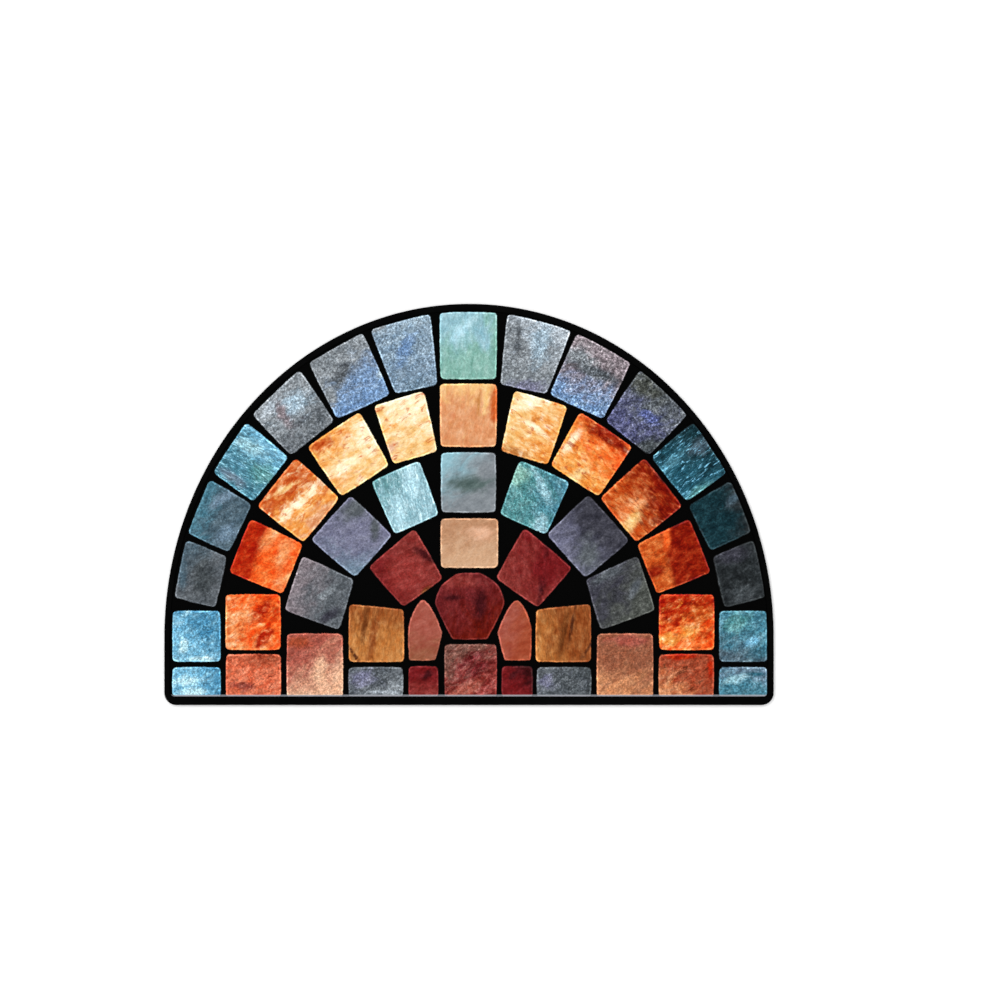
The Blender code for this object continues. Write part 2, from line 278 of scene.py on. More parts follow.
# Prints, one to a cobble. second lies over the ground dye towards a bearing, over cover of
# the cobble, with a soft or sharp change. accent is the dye of veins and streaks, and run
# the bearing along which streaks lie.
Print = namedtuple("Print", "stone ground second toward cover dabs soft accent run",
                   defaults=((), 0.8, "snow", 60))
PRINTS = {
    "low_sky_granite": Print("frosted", "sky", "azure", 90, 0.33, (
        Dab("ice", -0.3, 0.0, 0.5, 0.35, 90), Dab("ice", -0.1, -0.7, 0.6, 0.25, 90))),
    "sky_granite": Print("frosted", "azure", "sky", 225, 0.5, (
        Dab("ice", -0.5, -0.4, 0.35, 0.2), Dab("ice", 0.1, -0.85, 0.8, 0.1, 90))),
    "blue_charcoal": Print("slate", "pewter", "slate", 330, 0.3, (
        Dab("lead", 0.1, -0.1, 0.7, 0.5), Dab("slate", -0.7, 0.0, 0.6, 0.2))),
    "slate_blue": Print("slate", "slate", "sea", 290, 0.28, (
        Dab("steel", 0.1, 0.5, 0.5, 0.15, 60), Dab("steel", 0.2, -0.5, 0.4, 0.25, 60))),
    "brushed_sea": Print("brushed", "sea", "sky", 40, 0.36, (
        Dab("mist", 0.0, 0.4, 0.5, 0.2, 118), Dab("steel", -0.5, -0.4, 0.4, 0.15, 118),
        Dab("teal", 0.3, -0.3, 0.4, 0.3, 118)), 0.8, "mist", 118),
    "silver_granite": Print("granite", "stone", "pewter", 135, 0.3, (
        Dab("haze", 0.0, 0.2, 0.5, 0.3, 60), Dab("mauve", -0.25, -0.05, 0.4, 0.15, 150),
        Dab("pearl", -0.6, 0.1, 0.3, 0.12, 30))),
    "blue_corner_granite": Print("granite", "stone", "bluebell", 140, 0.45, (
        Dab("pewter", -0.2, 0.05, 0.45, 0.2, 40), Dab("haze", 0.8, 0.1, 0.25, 0.1, 30),
        Dab("stone", -0.5, -0.5, 0.35, 0.2)), 0.6),
    "blue_mist": Print("granite", "denim", "haze", 20, 0.25, (
        Dab("stone", -0.85, 0.8, 0.5, 0.3, 60), Dab("steel", 0.5, -0.8, 0.7, 0.25, 90),
        Dab("bluebell", 0.0, 0.1, 0.5, 0.2, 30)), 1.2),
    "aqua_glass": Print("glass", "aqua", "mist", 330, 0.35, (
        Dab("ice", -0.2, 0.45, 0.6, 0.2, 50), Dab("mist", 0.5, 0.3, 0.6, 0.25, 160),
        Dab("aqua", -0.3, -0.6, 0.8, 0.35, 90)), 1.0, "ice", 5),
    "blue_heart_granite": Print("granite", "stone", "pearl", 30, 0.25, (
        Dab("haze", 0.15, 0.3, 0.6, 0.3, 15), Dab("pewter", -0.5, 0.3, 0.5, 0.1),
        Dab("dusk", -0.2, -0.85, 0.6, 0.2, 90))),
    "blue_foot_granite": Print("speckled", "mauve", "bluebell", 205, 0.38, (
        Dab("stone", -0.3, 0.45, 0.5, 0.2, 110), Dab("pewter", 0.1, 0.1, 0.7, 0.15, 110)),
        0.6),
    "violet_granite": Print("speckled", "pewter", "violet", 225, 0.45, (
        Dab("olive", 0.0, 0.6, 0.5, 0.3, 120), Dab("iris", 0.05, -0.1, 0.3, 0.15, 120),
        Dab("lead", 0.1, -0.8, 0.5, 0.3, 90))),
    "brushed_teal": Print("brushed", "petrol", "lagoon", 200, 0.5, (
        Dab("sea", -0.5, 0.0, 0.5, 0.14, 50), Dab("teal", 0.3, -0.8, 0.4, 0.2, 50),
        Dab("slate", 0.3, 0.4, 0.4, 0.2, 50)), 0.8, "sky", 50),
    "deep_teal": Print("slate", "petrol", "soot", 70, 0.3, (
        Dab("petrol", 0.0, -0.3, 0.6, 0.4, 20), Dab("slate", 0.4, 0.5, 0.25, 0.12, 60))),
    "charcoal": Print("slate", "soot", "soot", 90, 0.5, (
        Dab("lead", 0.2, -0.6, 0.6, 0.3, 80), Dab("night", -0.3, 0.6, 0.6, 0.3, 80))),
    "lake_granite": Print("frosted", "sea", "slate", 200, 0.3, (
        Dab("teal", -0.3, 0.5, 0.6, 0.4, 60), Dab("sky", 0.4, -0.2, 0.3, 0.15, 60))),
    "low_lake_granite": Print("frosted", "sea", "steel", 20, 0.4, (
        Dab("mist", -0.4, 0.1, 0.6, 0.25, 60), Dab("lagoon", 0.5, 0.5, 0.5, 0.2, 90))),
    "brick": Print("brick", "terracotta", "brick", 20, 0.12, (
        Dab("rose", -0.4, -0.5, 0.5, 0.2, 100),), 0.9, "oxblood"),
    "flame_agate": Print("agate", "flame", "coral", 240, 0.4, (
        Dab("ember", 0.3, 0.4, 0.6, 0.25, 60), Dab("ember", 0.4, -0.5, 0.5, 0.2, 30),
        Dab("coral", -0.4, 0.3, 0.5, 0.3, 60)), 0.8, "ember"),
    "red_half_flame": Print("halved", "flame", "ember", 290, 0.4, (
        Dab("coral", 0.1, 0.5, 0.4, 0.2, 40), Dab("coral", 0.6, -0.6, 0.4, 0.2, 60),
        Dab("coral", 0.5, 0.1, 0.5, 0.2, 20)), 0.15, "ember"),
    "split_onyx": Print("onyx", "amber", "rust", 320, 0.53, (
        Dab("cream", 0.0, -0.05, 0.9, 0.13, 48), Dab("peach", 0.5, -0.45, 0.6, 0.35, 48),
        Dab("butter", -0.3, 0.3, 0.4, 0.07, 60)), 0.8, "rust", 50),
    "honey_onyx": Print("onyx", "butter", "amber", 285, 0.35, (
        Dab("cream", 0.45, 0.5, 0.5, 0.35, 60), Dab("cream", 0.1, -0.15, 0.8, 0.15, 60),
        Dab("rust", -0.7, 0.2, 0.3, 0.15, 60)), 0.9, "rust"),
    "pale_onyx": Print("onyx", "butter", "cream", 30, 0.45, (
        Dab("blush", -0.5, -0.6, 0.4, 0.15, 60), Dab("butter", 0.5, -0.5, 0.6, 0.25, 60),
        Dab("amber", -0.5, 0.0, 0.3, 0.08, 55)), 0.9, "rust"),
    "peach_onyx": Print("satin", "peach", "butter", 0, 0.15, (
        Dab("ochre", 0.36, 0.4, 0.4, 0.08, 5), Dab("rust", 0.9, 0.35, 0.7, 0.18, 5),
        Dab("butter", 0.6, 0.5, 0.5, 0.12, 5)), 0.6, "terracotta", 10),
    "cream_onyx": Print("onyx", "butter", "amber", 120, 0.43, (
        Dab("cream", -0.2, 0.7, 0.8, 0.2, 80), Dab("ochre", -0.6, -0.7, 0.6, 0.12, 105),
        Dab("cream", 0.0, 0.0, 0.6, 0.1, 120)), 1.0, "rust", 120),
    "fire_onyx": Print("fiery", "amber", "flame", 60, 0.45, (
        Dab("cinder", 0.4, 0.45, 0.9, 0.21, 125), Dab("cream", -0.5, 0.3, 0.35, 0.1, 40),
        Dab("butter", -0.35, -0.5, 0.4, 0.15, 60)), 0.8, "ember", 125),
    "ember_onyx": Print("fiery", "rust", "cinder", 60, 0.48, (
        Dab("coral", -0.3, -0.3, 0.6, 0.22, 40), Dab("butter", -0.3, -0.6, 0.5, 0.17, 35),
        Dab("oxblood", 0.5, 0.6, 0.5, 0.12, 130)), 0.7, "oxblood", 130),
    "red_half_ember": Print("halved", "rust", "cinder", 75, 0.6, (
        Dab("flame", -0.2, 0.5, 0.4, 0.12, 0), Dab("cinder", -0.5, -0.4, 0.3, 0.2, 60),
        Dab("rust", 0.3, -0.8, 0.3, 0.1, 70)), 0.15, "oxblood"),
    "dark_flame_agate": Print("agate", "flame", "ember", 350, 0.5, (
        Dab("amber", 0.0, -0.4, 0.5, 0.25, 60), Dab("rust", 0.4, 0.2, 0.5, 0.4, 30),
        Dab("amber", -0.6, -0.6, 0.3, 0.3)), 0.8, "oxblood"),
    "dark_brick": Print("brick", "brick", "peach", 220, 0.15, (
        Dab("ember", 0.85, 0.4, 0.6, 0.12), Dab("ember", -0.2, 0.85, 0.7, 0.15, 90)),
        0.9, "umber"),
    "blush_granite": Print("sandy", "rose", "blush", 155, 0.4, (
        Dab("blush", 0.2, -0.3, 0.5, 0.25), Dab("brick", -0.6, 0.7, 0.5, 0.2, 90)), 1.0),
    "violet_ash": Print("slate", "pewter", "mauve", 290, 0.35, (
        Dab("stone", 0.2, 0.0, 0.35, 0.1, 60), Dab("night", 0.3, -0.6, 0.4, 0.15, 60))),
    "dusk": Print("dusky", "dusk", "steel", 180, 0.2, (
        Dab("pewter", 0.1, 0.7, 0.5, 0.3, 60), Dab("pewter", 0.6, 0.2, 0.4, 0.15))),
    "ice_blue": Print("ice", "mist", "teal", 300, 0.27, (
        Dab("ice", 0.2, 0.4, 0.7, 0.25, 165), Dab("mist", 0.5, -0.3, 0.4, 0.2, 165),
        Dab("ice", -0.2, -0.4, 0.6, 0.2, 165)), 0.9, "snow", 165),
    "storm": Print("smooth", "stone", "mist", 315, 0.24, (
        Dab("fern", 0.0, -0.05, 0.9, 0.3, 90), Dab("stone", 0.6, 0.4, 0.4, 0.3)), 1.0),
    "sea_spray": Print("frosted", "teal", "sea", 90, 0.35, (
        Dab("mist", 0.25, 0.3, 0.5, 0.15, 150), Dab("aqua", -0.5, 0.6, 0.4, 0.3, 60),
        Dab("mist", 0.2, -0.7, 0.3, 0.2, 150)), 0.9, "ice", 150),
    "night": Print("dusky", "dusk", "night", 50, 0.7, (
        Dab("night", 0.4, 0.3, 0.6, 0.6), Dab("pewter", 0.0, -0.5, 0.5, 0.3)), 1.0),
    "ash": Print("slate", "night", "olive", 120, 0.5, (
        Dab("pewter", -0.4, 0.5, 0.5, 0.15, 60), Dab("pewter", 0.4, 0.1, 0.4, 0.12, 30))),
    "clay_granite": Print("sandy", "clay", "peach", 190, 0.2, (
        Dab("rose", 0.1, 0.75, 0.8, 0.2, 90), Dab("clay", -0.5, 0.2, 0.5, 0.4)), 1.1),
    "violet_granite_low": Print("granite", "pewter", "stone", 120, 0.22, (
        Dab("dusk", -0.5, 0.2, 0.6, 0.5), Dab("pearl", 0.2, -0.7, 0.5, 0.12, 90))),
    "ochre_sandstone": Print("sandstone", "ochre", "tan", 0, 0.3, (
        Dab("bark", -0.4, 0.3, 0.8, 0.1, 8), Dab("tan", -0.1, 0.0, 0.9, 0.16, 10),
        Dab("umber", -0.8, -0.7, 0.4, 0.06, 145)), 1.0, "bark", 5),
    "garnet": Print("garnet", "garnet", "crimson", 250, 0.3, (
        Dab("wine", 0.5, 0.35, 0.4, 0.12, 120), Dab("ruby", 0.0, -0.2, 0.6, 0.5),
        Dab("bark", 0.55, -0.6, 0.15, 0.1, 60)), 1.0, "ruby"),
    "beige": Print("smooth", "beige", "sand", 180, 0.5, (
        Dab("blush", 0.4, 0.4, 0.5, 0.3, 90),), 1.2),
    "veined_garnet": Print("garnet", "garnet", "crimson", 60, 0.5, (
        Dab("wine", 0.25, -0.2, 0.8, 0.1, 8), Dab("crimson", 0.3, 0.0, 0.4, 0.3, 60)),
        1.0, "wine", 170),
    "brown_sandstone": Print("sandstone", "tan", "ochre", 250, 0.2, (
        Dab("umber", 0.3, 0.3, 0.9, 0.07, 10), Dab("bark", 0.0, 0.0, 0.9, 0.14, 10),
        Dab("umber", 0.8, -0.6, 0.5, 0.06, 35)), 1.0, "bark", 175),
    "grey_granite_low": Print("granite", "pewter", "lead", 90, 0.4, (
        Dab("dusk", -0.6, 0.0, 0.5, 0.25), Dab("pewter", 0.7, -0.2, 0.6, 0.2))),
    "rose_marble": Print("marble", "garnet", "taupe", 330, 0.45, (
        Dab("maroon", 0.2, 0.0, 0.7, 0.25, 60), Dab("rose", -0.2, -0.75, 0.8, 0.25, 60),
        Dab("maroon", 0.0, 0.4, 0.6, 0.25, 60)), 1.0, "shell", 55),
    "crimson": Print("garnet", "crimson", "garnet", 180, 0.3, (
        Dab("wine", 0.3, 0.4, 0.5, 0.3, 60),), 0.9, "garnet"),
    "dark_crimson": Print("garnet", "crimson", "wine", 60, 0.4, (
        Dab("wine", -0.2, 0.4, 0.4, 0.25, 60),), 0.9, "garnet"),
    "keystone_garnet": Print("garnet", "maroon", "oxblood", 150, 0.4, (
        Dab("wine", 0.3, 0.05, 0.5, 0.22), Dab("wine", -0.5, 0.25, 0.3, 0.08, 90),
        Dab("garnet", -0.3, 0.75, 0.7, 0.25, 90)), 1.1, "wine", 10),
    "dusty_rose": Print("smooth", "rose", "clay", 180, 0.3, (
        Dab("rose", 0, 0.3, 0.6, 0.6),), 1.1),
    "warm_rose": Print("smooth", "rose", "brick", 110, 0.6, (), 1.2),
}


def arc(centre, across, up, start, end, steps):
    """Points along an ellipse's edge, from one angle to another, both included."""
    angles = [start + (end - start) * step / steps for step in range(steps + 1)]
    return [centre + Vector((across * cos(angle), up * sin(angle))) for angle in angles]


def arch_outline(side, crown, foot, corner):
    """The mat's outline drawn in by side, crown and foot, anticlockwise from lower right."""
    across = WIDTH / 2 - side
    up = ARCH_RISE - crown
    spring = FOOT_Y + SIDE_HEIGHT
    low = FOOT_Y + foot
    right_corner = Vector((across - corner, low + corner))
    left_corner = Vector((corner - across, low + corner))
    points = arc(right_corner, corner, corner, -pi / 2, 0, CORNER_STEPS)
    points += arc(Vector((0, spring)), across, up, 0, pi, ARCH_STEPS)
    points += arc(left_corner, corner, corner, pi, 3 * pi / 2, CORNER_STEPS)
    return points


def rounded(corners, radii, steps):
    """A convex outline through these corners, with an arc in place of each one."""
    points = []
    for place, corner in enumerate(corners):
        back = corners[place - 1] - corner
        ahead = corners[(place + 1) % len(corners)] - corner
        half_angle = back.angle(ahead) / 2
        shorter = min(back.length, ahead.length)
        reach = min(radii[place] / tan(half_angle), CORNER_SHARE * shorter)
        start = corner + back.normalized() * reach
        inward = (back.normalized() + ahead.normalized()).normalized()
        centre = corner + inward * reach / cos(half_angle)
        sweep = pi - 2 * half_angle
        for step in range(steps + 1):
            turn = Matrix.Rotation(sweep * step / steps, 2)
            points.append(centre + turn @ (start - centre))
    return points


def on_ellipse(across, up, angle):
    """The point of an ellipse about the rings' centre, at this angle from straight up."""
    reach = MM / hypot(sin(angle) / across, cos(angle) / up)
    return Vector((reach * sin(angle), reach * cos(angle)))


def along_ellipse(point, across, up):
    """The direction in which an ellipse of these half axes runs past a point."""
    lean = atan2(point.x / across**2, point.y / up**2)
    return Vector((cos(lean), -sin(lean)))


def ring_corners(cobble, wider):
    """Corners of a ring cobble, anticlockwise, seen from the rings' centre. It is wider than
    its row says by this many millimetres."""
    ring = RINGS[cobble.ring]
    angle = radians(cobble.angle)
    lean = radians(cobble.lean)
    outer = on_ellipse(ring.outer_across, ring.outer_up, angle)
    inner = on_ellipse(ring.inner_across, ring.inner_up, angle)
    middle = (outer + inner) / 2
    axis = Vector((sin(lean), cos(lean))) * (outer - inner).length / 2
    outer_run = along_ellipse(middle + axis, ring.outer_across, ring.outer_up)
    inner_run = along_ellipse(middle - axis, ring.inner_across, ring.inner_up)
    outer_half = outer_run * (cobble.outer_width + wider) * MM / 2
    inner_half = inner_run * (cobble.inner_width + wider) * MM / 2
    return [
        middle - axis - inner_half,
        middle - axis + inner_half,
        middle + axis + outer_half,
        middle + axis - outer_half,
    ]


def upright_corners(cobble):
    """Corners of an upright cobble, anticlockwise, seen from the middle of the foot."""
    low = CUT_LINE if cobble.low is CUT_EDGE else cobble.low * MM
    middle = cobble.x * MM
    low_half = cobble.low_width / 2 * MM
    high_half = cobble.high_width / 2 * MM
    high = cobble.high * MM
    return [
        Vector((middle - low_half, low)),
        Vector((middle + low_half, low)),
        Vector((middle + high_half, high)),
        Vector((middle - high_half, high - cobble.inner_drop * MM)),
    ]


def mirrored(corners):
    """The same outline on the other side of the middle line, still anticlockwise."""
    return [Vector((-corner.x, corner.y)) for corner in reversed(corners)]


def placed(corners, height):
    """Corners lifted by a height, and moved across with the whole print."""
    return [corner + Vector((PRINT_OFFSET, height)) for corner in corners]


# cut says that the cobble's foot lies on the cut edge
Cobble = namedtuple("Cobble", "corners radii print cut")


def cobbles():
    """The 52 cobbles in the mat's own place, each with its print."""
    made = []
    for row in RING_COBBLES:
        right = ring_corners(row, row.right_wider)
        left = mirrored(ring_corners(row, -row.right_wider))
        radii = [COBBLE_CORNER] * 4
        made.append(Cobble(placed(right, RING_CENTRE + FOOT_Y), radii, row.right, False))
        made.append(Cobble(placed(left, RING_CENTRE + FOOT_Y), radii, row.left, False))
    for row in UPRIGHTS:
        corners = upright_corners(row)
        cut = row.low is CUT_EDGE
        low_corner = CUT_CORNER if cut else COBBLE_CORNER
        end_corner = END_CUT_CORNER if cut and row.x > END_X else low_corner
        radii = [low_corner, end_corner, COBBLE_CORNER, COBBLE_CORNER]
        made.append(Cobble(placed(corners, FOOT_Y), radii, row.right, cut))
        if row.left:
            made.append(Cobble(placed(mirrored(corners), FOOT_Y), radii[::-1], row.left, cut))
    keystone = [Vector(point) * MM for point in KEYSTONE]
    radii = [COBBLE_CORNER] * 2 + [KEYSTONE_CORNER] * 6
    made.append(Cobble(placed(keystone, FOOT_Y), radii, "keystone_garnet", False))
    pointed = [Vector(point) * MM for point in POINTED]
    radii = [CUT_CORNER] * 2 + [POINTED_CORNER] * 5
    made.append(Cobble(placed(pointed, FOOT_Y), radii, "warm_rose", False))
    made.append(Cobble(placed(mirrored(pointed), FOOT_Y), radii[::-1], "dusty_rose", False))
    return made


def spaced(outline, count):
    """Points spread round an outline, closer together where it turns, with long sides
    swelled a little. Returns the points and the outward direction at each."""
    ends = outline[1:] + outline[:1]
    extra_weight = 0.45 * MM
    lengths = [(end - start).length for start, end in zip(outline, ends)]
    weights = [length if length > LONG_SIDE else length + extra_weight for length in lengths]
    total = sum(weights)
    points = []
    place, passed = 0, 0.0
    for step in range(count):
        wanted = total * step / count
        while passed + weights[place] < wanted:
            passed += weights[place]
            place += 1
        share = (wanted - passed) / weights[place]
        side = ends[place] - outline[place]
        point = outline[place] + side * share
        if side.length > LONG_SIDE:
            outward = Vector((side.y, -side.x)).normalized()
            point += outward * BULGE * 4 * share * (1 - share)
        points.append(point)
    outward = []
    for step in range(count):
        run = points[(step + 1) % count] - points[step - 1]
        outward.append(Vector((run.y, -run.x)).normalized())
    return points, outward


def kept_inside(point, margin):
    """The point, kept above the cut line and at least margin from the cloth's trimmed side."""
    across = WIDTH / 2 - RIM_SIDE - FIT - margin
    up = ARCH_RISE - RIM_CROWN - FIT - margin
    spring = FOOT_Y + SIDE_HEIGHT
    point.y = max(point.y, FOOT_Y + CUT_LINE)
    rise = max(0.0, point.y - spring)
    far = hypot(point.x / across, rise / up)
    if far <= 1:
        return point
    return Vector((point.x / far, point.y - rise + rise / far))


def moved_to(verts, places):
    for vert, place in zip(verts, places):
        vert.co = place


def loop_of(bm, outline, height):
    """A closed loop of edges along an outline, at one height."""
    made = bmesh.ops.create_circle(bm, cap_ends=False, segments=len(outline), radius=1)
    moved_to(made["verts"], [(point.x, point.y, height) for point in outline])
    return list({edge for vert in made["verts"] for edge in vert.link_edges})


def make_object(name, bm, materials):
    """A finished object at the origin, its edges sharp where its faces turn hard."""
    for face in bm.faces:
        face.smooth = True
    for edge in bm.edges:
        if edge.calc_face_angle(0) > SHARP_ANGLE:
            edge.smooth = False
    mesh = bpy.data.meshes.new(name)
    bm.to_mesh(mesh)
    bm.free()
    for material in materials:
        mesh.materials.append(material)
    piece = bpy.data.objects.new(name, mesh)
    bpy.context.scene.collection.objects.link(piece)
    return piece


def square_place(u, v):
    """How far out a point of a square lies, and how far round, from 0 to 4 corners."""
    far = max(abs(u), abs(v))
    if far < 1e-6:
        return 0.0, 0.0
    if v == -far:
        return far, (u / far + 1) / 2
    if u == far:
        return far, 1 + (v / far + 1) / 2
    if v == far:
        return far, 2 + (1 - u / far) / 2
    return far, 3 + (1 - v / far) / 2


def unevenness(x, y):
    """How the pressed top rises and sinks, in metres: a slow swell, and ripples taken from
    another level of the noise."""
    ripple_level = 10 * MM
    swell = noise.noise(Vector((x, y, 0)) / SWELL_LENGTH)
    ripple = noise.noise(Vector((x, y, ripple_level)) / RIPPLE_LENGTH)
    return SWELL * swell + RIPPLE * ripple


def raised_cobble(cobble, number):
    """One cobble's mesh: a crowned top from a square grid, its shoulder, wall and foot."""
    bm = bmesh.new()
    owner = bm.verts.layers.int.new("cobble")
    edge_place = bm.verts.layers.float.new("edge")
    count = 4 * GRID
    outline, outward = spaced(rounded(cobble.corners, cobble.radii, ROUND_STEPS), count)
    centre = sum(outline, Vector((0, 0))) / count
    half = min((point - centre).length for point in outline)
    # Each cobble's walls wander by another level of the noise. A cut is 1 where the outline
    # faces the foot, and soon 0 where it turns up the sides.
    noise_level = number * 0.1
    cuts, rim = [], []
    for point, out in zip(outline, outward):
        cut = max(0.0, -out.y) ** 4 if cobble.cut else 0.0
        wave = noise.noise(Vector((point.x, point.y, noise_level)) / WAVE_LENGTH)
        wall = kept_inside(point + out * (1 - cut) * wave * WAVE, EDGE_MARGIN)
        cuts.append(cut)
        rim.append(wall - out * SHOULDER)
    made = bmesh.ops.create_grid(bm, x_segments=GRID, y_segments=GRID, size=1)
    steps = {}
    for vert in made["verts"]:
        far, corners_round = square_place(round(vert.co.x, 5), round(vert.co.y, 5))
        step = corners_round * GRID
        below = int(step) % count
        place = rim[below].lerp(rim[(below + 1) % count], step - int(step))
        place = centre + (place - centre) * far
        height = COBBLE_LEVEL + CROWN * (1 - far**2) + unevenness(place.x, place.y)
        vert.co = (place.x, place.y, height)
        vert[edge_place] = (SHOULDER + (1 - far) * half) / MM
        if far == 1:
            steps[vert] = round(step) % count
    ring = [edge for edge in bm.edges if edge.is_boundary]
    for fall in FALLS:
        pushed = bmesh.ops.extrude_edge_only(bm, edges=ring)["geom"]
        ring = [item for item in pushed if isinstance(item, bmesh.types.BMEdge)]
        slope = fall.out / FALLS[-1].out * FALLS[-1].down
        pushed_steps = {}
        for vert in [item for item in pushed if isinstance(item, bmesh.types.BMVert)]:
            step = next(steps[e.other_vert(vert)] for e in vert.link_edges
                        if e.other_vert(vert) in steps)
            pushed_steps[vert] = step
            place = rim[step] + outward[step] * fall.out * MM
            down = (fall.down + (slope - fall.down) * cuts[step]) * MM
            left = 1 - fall.down / FALLS[-1].down
            height = COBBLE_LEVEL - down + unevenness(rim[step].x, rim[step].y) * left
            vert.co = (place.x, place.y, height)
            vert[edge_place] = SHOULDER / MM - fall.out
        steps = pushed_steps
    for vert in bm.verts:
        vert[owner] = number
    mesh = bpy.data.meshes.new("cobble")
    bm.to_mesh(mesh)
    bm.free()
    return mesh


# What the points of the joints and the underside say in place of a cobble's number
NO_COBBLE = -1


def cloth_outline():
    """The trimmed edge of the cloth, inside the rim and its glue."""
    return arch_outline(RIM_SIDE + FIT, RIM_CROWN + FIT, RIM_FOOT + FIT, RECESS_CORNER - FIT)


def make_face(materials):
    """The cloth: its raised cobbles, the joints filled in between them, and its underside."""
    bm = bmesh.new()
    owner = bm.verts.layers.int.new("cobble")
    edge_place = bm.verts.layers.float.new("edge")
    chart = cobbles()
    for number, cobble in enumerate(chart):
        mesh = raised_cobble(cobble, number)
        bm.from_mesh(mesh)
        bpy.data.meshes.remove(mesh)
    raised = len(bm.faces)
    feet = [edge for edge in bm.edges if edge.is_boundary]
    border = loop_of(bm, cloth_outline(), JOINT_LEVEL)
    for vert in {vert for edge in border for vert in edge.verts}:
        vert[owner] = NO_COBBLE
        vert[edge_place] = -1
    bmesh.ops.triangle_fill(bm, use_beauty=True, edges=feet + border, normal=(0, 0, 1))
    pushed = bmesh.ops.extrude_edge_only(bm, edges=border)["geom"]
    under = [item for item in pushed if isinstance(item, bmesh.types.BMEdge)]
    for vert in {vert for edge in under for vert in edge.verts}:
        vert.co.z = CLOTH_UNDER
    bmesh.ops.contextual_create(bm, geom=under)
    bmesh.ops.recalc_face_normals(bm, faces=bm.faces)
    for number, face in enumerate(bm.faces):
        face.material_index = 0 if number < raised else 1
    piece = make_object("cobble_face", bm, materials)
    paint_prints(piece.data, chart)
    return piece


def linear(hex_colour):
    """An sRGB hex colour as linear red, green and blue."""
    values = [int(hex_colour[place:place + 2], 16) / 255 for place in (1, 3, 5)]
    return [v / 12.92 if v <= 0.04045 else ((v + 0.055) / 1.055) ** 2.4 for v in values]


# A print has three dabs at most. Where it has fewer, the cover is too low for noise to lift.
DAB_NAMES = ("dab_one", "dab_two", "dab_three")
NO_DYE = -9.0

# The prints' places in the noise lie this far apart in millimetres, this many to a row, so
# that no two cobbles show the same stretch of it
NOISE_ACROSS = 97
NOISE_UP = 83
NOISE_ROW = 7


def turned(offset, bearing):
    """How far each offset lies along a compass bearing, and how far to its right."""
    run = radians(bearing)
    along = offset @ np.array((sin(run), cos(run)))
    across = offset @ np.array((cos(run), -sin(run)))
    return along, across


def paint_prints(mesh, chart):
    """Writes each cobble's print on its points: its dyes, how well each dye covers, how
    strong the stone's grain is, and a place in millimetres for the grain to lie in."""
    count = len(mesh.vertices)
    spots = np.empty(count * 3)
    mesh.vertices.foreach_get("co", spots)
    spots = spots.reshape(count, 3)
    owner = np.empty(count, dtype=int)
    mesh.attributes["cobble"].data.foreach_get("value", owner)
    dyes = {name: np.zeros((count, 4)) for name in ("ground", "second", "accent", *DAB_NAMES)}
    covers = {name: np.full(count, NO_DYE) for name in ("second", *DAB_NAMES)}
    strengths = np.zeros((count, 5))
    place = np.zeros((count, 3))
    for number, cobble in enumerate(chart):
        mine = owner == number
        row = PRINTS[cobble.print]
        own = spots[mine]
        low, high = own[:, :2].min(axis=0), own[:, :2].max(axis=0)
        middle, half = (low + high) / 2, (high - low) / 2
        local = (own[:, :2] - middle) / half
        for name in ("ground", "second", "accent"):
            dyes[name][mine] = linear(DYES[getattr(row, name)]) + [1]
        toward = turned(local, row.toward)[0]
        covers["second"][mine] = 0.5 + (toward - (1 - 2 * row.cover)) / (2 * row.soft)
        for name, dab in zip(DAB_NAMES, row.dabs):
            along, across = turned(local - np.array((dab.across, dab.up)), dab.run)
            dyes[name][mine] = linear(DYES[dab.dye]) + [1]
            covers[name][mine] = np.exp(-((along / dab.long) ** 2) - (across / dab.wide) ** 2)
        strengths[mine] = STONES[row.stone]
        along, across = turned((own[:, :2] - middle) / MM, row.run)
        place[mine, 0] = along + NOISE_ACROSS * (number % NOISE_ROW)
        place[mine, 1] = across + NOISE_UP * (number // NOISE_ROW)
        place[mine, 2] = own[:, 2] / MM
    write = mesh.attributes.new
    for name, values in dyes.items():
        write(name, "FLOAT_COLOR", "POINT").data.foreach_set("color", values.ravel())
    for name, values in covers.items():
        write(name + "_cover", "FLOAT", "POINT").data.foreach_set("value", values)
    for name, values in zip(Stone._fields, strengths.T):
        write(name, "FLOAT", "POINT").data.foreach_set("value", values.copy())
    write("place", "FLOAT_VECTOR", "POINT").data.foreach_set("vector", place.ravel())


def rim_loop(share, inward):
    """The outline at this share of the way across the rim, drawn in a little further."""
    corner = CORNER_RADIUS * (1 - share) + RECESS_CORNER * share - inward
    return arch_outline(
        RIM_SIDE * share + inward, RIM_CROWN * share + inward, RIM_FOOT * share + inward, corner
    )


